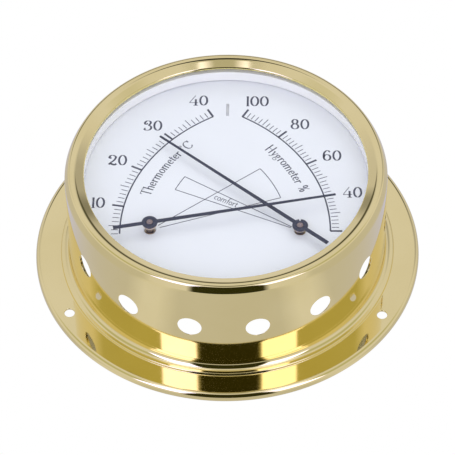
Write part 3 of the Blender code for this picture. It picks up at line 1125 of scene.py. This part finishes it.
def clear_glass():
    """A flat pane: light goes straight through it, and its outer face mirrors more at a glancing angle."""
    shade = Shade("pane", (0.98, 0.99, 0.99), 0.0, 0.02)
    shade.tree.nodes.remove(shade.shader)
    through = shade.node("ShaderNodeBsdfTransparent")
    through.inputs["Color"].default_value = (0.985, 0.992, 0.99, 1.0)
    mirror = shade.node("ShaderNodeBsdfGlossy")
    smear = shade.remap(shade.noise(0.08, 3.0), 0.3, 0.7, 0.01, 0.05)
    shade.link(smear, mirror.inputs["Roughness"])
    fresnel = shade.node("ShaderNodeFresnel")
    fresnel.inputs["IOR"].default_value = GLASS_IOR
    front = shade.remap(shade.node("ShaderNodeNewGeometry").outputs["Backfacing"], 0.0, 1.0, 1.0, 0.0)
    share = shade.maths("MULTIPLY", fresnel.outputs["Fac"], front)
    shade.surface(share, through.outputs["BSDF"], mirror.outputs["BSDF"])
    return shade.material


def set_material(obj, material):
    """Makes the material the object's only one."""
    obj.data.materials.clear()
    obj.data.materials.append(material)


def finish_piece(obj, body, slot, material, *nodes):
    """Puts a piece on its body, in place of the CAD nodes named, with its material; slot is not used."""
    if nodes:
        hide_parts(*nodes)
    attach(obj, body)
    set_material(obj, material)


finish_piece(case, "root", "polished_brass", polished_brass(), "case")
finish_piece(glass, "root", "clear_glass", clear_glass(), "glass")
finish_piece(spacer, "root", "spacer_white", white_plastic(), "spacer_ring")
finish_piece(dial_print, "root", "", printing_ink("dark_ink", (0.045, 0.048, 0.062), (0.075, 0.08, 0.10)))
finish_piece(dial_mark, "root", "", printing_ink("pale_ink", (0.50, 0.50, 0.50), (0.60, 0.60, 0.60)))
pointer_finish = satin_black("pointer_finish", (0.035, 0.04, 0.052), 0.3)
for prefix, pivot in PIVOTS.items():
    body = f"{prefix}_indicator"
    steel = machined_metal(f"{prefix}_collar_metal", (0.62, 0.50, 0.38), 0.25, pivot)
    copper = machined_metal(f"{prefix}_shaft_metal", (0.52, 0.40, 0.29), 0.3, pivot)
    finish_piece(pointers[prefix], body, "pointer_black", pointer_finish, f"{prefix}_pointer")
    finish_piece(hubs[prefix], body, "bright_steel", steel, f"{prefix}_hub")
    finish_piece(spindles[prefix], body, "copper_alloy", copper, f"{prefix}_spindle")

# The coils: a bimetal strip, and a strip with a coating that takes up moisture.
STRIPS = {
    "thermo": ("thermo_strip", (0.55, 0.48, 0.38), 1.0, 0.3),
    "hygro": ("hygro_strip", (0.70, 0.64, 0.50), 0.15, 0.5),
}
nodes = frame["nodes"]
set_material(nodes["dial_plate"], dial_lacquer())
set_material(nodes["retaining_ring"], rolled_strip("ring_steel", (0.62, 0.62, 0.63), 1.0, 0.28))
bridge_finish = satin_black("bridge_finish", (0.05, 0.05, 0.058), 0.5)
for prefix, pivot in PIVOTS.items():
    brass = machined_metal(f"{prefix}_turned_brass", (0.74, 0.59, 0.33), 0.26, pivot)
    for part in ("nut_left", "nut_right", "front_bushing", "rear_bushing", "calibration_lever", "collet"):
        set_material(nodes[f"{prefix}_{part}"], brass)
    set_material(nodes[f"{prefix}_bridge"], bridge_finish)
    set_material(nodes[f"{prefix}_coil"], rolled_strip(*STRIPS[prefix]))


# -------- floor, light and camera

# Where the camera stands in metres, how far it looks down and leans, how far it is turned about the
# vertical, and its focal length as a share of the frame's width.
CAMERA_PLACE = (0.01947, -0.61426, 0.71205)
CAMERA_TILT = math.radians(48.713)
CAMERA_ROLL = -0.01797
FRAME_TURN = math.radians(1.8)
LENS_SHARE = 6.57315
SENSOR = 36.0


def make_camera():
    """The camera looks down at 48.7 degrees from a little to the right of 6 o'clock."""
    down, roll = CAMERA_TILT, CAMERA_ROLL
    right = Vector((1, 0, 0))
    lower = Vector((0, -math.sin(down), -math.cos(down)))
    ahead = Vector((0, math.cos(down), -math.sin(down)))
    rolled_right = right * math.cos(roll) - lower * math.sin(roll)
    rolled_lower = right * math.sin(roll) + lower * math.cos(roll)
    turn = Matrix.Rotation(FRAME_TURN, 3, "Z")
    columns = [turn @ rolled_right, turn @ -rolled_lower, turn @ -ahead]
    rotation = Matrix(columns).transposed()
    data = bpy.data.cameras.new("camera")
    data.sensor_width = SENSOR
    data.lens = LENS_SHARE * SENSOR
    camera = bpy.data.objects.new("camera", data)
    camera.matrix_world = Matrix.Translation(CAMERA_PLACE) @ rotation.to_4x4()
    bpy.context.scene.collection.objects.link(camera)
    bpy.context.scene.camera = camera


# The room and its studio cards as mirrors see them. A card is (azimuth from the camera's side, half
# width, elevation, half height, softness, brightness, blue), angles in degrees, and blue as a share of
# the brightness. Later cards cover earlier ones.
ROOM_LIGHT = (0.72, 0.72, 1.0)
# Matt surfaces take the room's light evenly from all round.
MATT_LIGHT = (0.95, 0.95, 0.97)
CARDS = (
    (-180.0, 50.0, 28.0, 13.0, 12.0, 0.62, 1.4),
    (180.0, 50.0, 28.0, 13.0, 12.0, 0.45, 1.4),
    (-180.0, 28.0, 30.0, 9.0, 6.0, 0.10, 1.0),
    (180.0, 28.0, 30.0, 9.0, 6.0, 0.10, 1.0),
    (-180.0, 20.0, 73.0, 12.0, 5.0, 0.04, 1.0),
    (180.0, 20.0, 73.0, 12.0, 5.0, 0.04, 1.0),
    (0.0, 180.0, 90.0, 9.0, 6.0, 0.50, 1.2),
    (0.0, 115.0, 49.0, 13.0, 14.0, 0.50, 0.85),
    (0.0, 23.0, 33.0, 34.0, 4.0, 0.028, 0.3),
    (-37.5, 13.5, 45.0, 19.0, 2.0, 1.9, 2.8),
    (37.5, 13.5, 45.0, 19.0, 2.0, 1.9, 2.2),
    (-62.0, 17.0, 76.0, 9.0, 3.0, 1.5, 1.7),
    (62.0, 17.0, 76.0, 9.0, 3.0, 1.5, 1.7),
)
# How bright the floor's glow is in mirror images, and its tint there: painted shade, dimmer than the white
# that the camera sees. Below the two softboxes it is brighter, a painted pool of light: azimuth of each
# pool's middle, how far from it the pool starts to fade and ends, and its brightness.
FLOOR_MIRRORED = 0.58
FLOOR_TINT = (1.0, 1.0, 1.35)
FLOOR_POOL = (38.0, 4.0, 14.0, 0.71)
FLOOR_R = 3.0
FLOOR_SIDES = 64
FLOOR_Z = -0.0001
WHITE = (1.0, 1.0, 1.0)


def card_mask(shade, azimuth, elevation, card):
    """1 on a card and 0 off it."""
    middle, half, height, half_height, soft = card[:5]
    near = []
    for source, centre, reach in ((azimuth, middle, half), (elevation, height, half_height)):
        size = shade.distance_from(source, centre)
        near.append(shade.remap(size, reach - soft / 2, reach + soft / 2, 1.0, 0.0))
    return shade.maths("MULTIPLY", *near)


class Sky(Shade):
    """Like Shade, for a world."""

    def __init__(self, world):
        world.use_nodes = True
        self.tree = world.node_tree
        self.background = self.tree.nodes["Background"]


def make_world():
    """A pale studio: light all round, a dark gap where the camera stands, and a softbox each side of it."""
    world = bpy.data.worlds.new("studio")
    bpy.context.scene.world = world
    sky = Sky(world)
    way = sky.node("ShaderNodeTexCoord").outputs["Generated"]
    azimuth = sky.compass(way)
    rise = sky.maths("ARCSINE", sky.split(way)[2])
    elevation = sky.remap(rise, -math.pi / 2, math.pi / 2, -90.0, 90.0)
    level = ROOM_LIGHT
    for card in CARDS:
        bright, blue = card[5:]
        level = sky.mix(card_mask(sky, azimuth, elevation, card), level, (bright, bright, bright * blue))
    rays = sky.node("ShaderNodeLightPath")
    matt = sky.mix(rays.outputs["Is Diffuse Ray"], level, MATT_LIGHT)
    seen = sky.mix(rays.outputs["Is Camera Ray"], matt, WHITE)
    sky.link(seen, sky.background.inputs["Color"])


def make_floor():
    """A plain white floor that glows, so that it stays pale through the vents; its glow holds painted light,
    dimmer in mirror images and brighter below the softboxes; from below it is clear.
    """
    mesh = bpy.data.meshes.new("floor")
    turns = [math.tau * k / FLOOR_SIDES for k in range(FLOOR_SIDES)]
    rim = [(FLOOR_R * math.cos(turn), FLOOR_R * math.sin(turn), FLOOR_Z) for turn in turns]
    mesh.from_pydata(rim, [], [tuple(range(FLOOR_SIDES))])
    floor = bpy.data.objects.new("floor", mesh)
    bpy.context.scene.collection.objects.link(floor)
    shade = Shade("floor_white", (0.9, 0.9, 0.9), 0.0, 0.6)
    path = shade.node("ShaderNodeLightPath")
    glow = shade.node("ShaderNodeEmission")
    # Painted light: the glow is dimmer in mirror images and brighter in pools below the two softboxes.
    place, near, far, level = FLOOR_POOL
    side = shade.distance_from(shade.compass(shade.place), 0.0)
    pool = shade.remap(shade.distance_from(side, place), near, far, level, FLOOR_MIRRORED)
    seen = shade.maths("MAXIMUM", pool, path.outputs["Is Camera Ray"])
    shade.link(seen, glow.inputs["Strength"])
    tint = shade.mix(path.outputs["Is Glossy Ray"], WHITE, FLOOR_TINT)
    shade.link(tint, glow.inputs["Color"])
    clear = shade.node("ShaderNodeBsdfTransparent")
    below = shade.node("ShaderNodeNewGeometry").outputs["Backfacing"]
    shade.surface(below, glow.outputs["Emission"], clear.outputs["BSDF"])
    mesh.materials.append(shade.material)


def make_lamp(name, place, size, power):
    """A soft square lamp that looks at the object and isn't itself mirrored in it."""
    data = bpy.data.lights.new(name, "AREA")
    data.size = size
    data.energy = power
    lamp = bpy.data.objects.new(name, data)
    lamp.location = place
    lamp.rotation_mode = "QUATERNION"
    lamp.rotation_quaternion = (-Vector(place)).to_track_quat("-Z", "Y")
    lamp.visible_glossy = False
    bpy.context.scene.collection.objects.link(lamp)


make_camera()
make_world()
make_floor()
make_lamp("key", (0.3, 0.6, 1.1), 0.9, 3.0)
make_lamp("fill", (-0.1, -1.1, 0.7), 0.9, 4.5)
bpy.context.scene.view_settings.view_transform = "Standard"

bpy.context.view_layer.update()
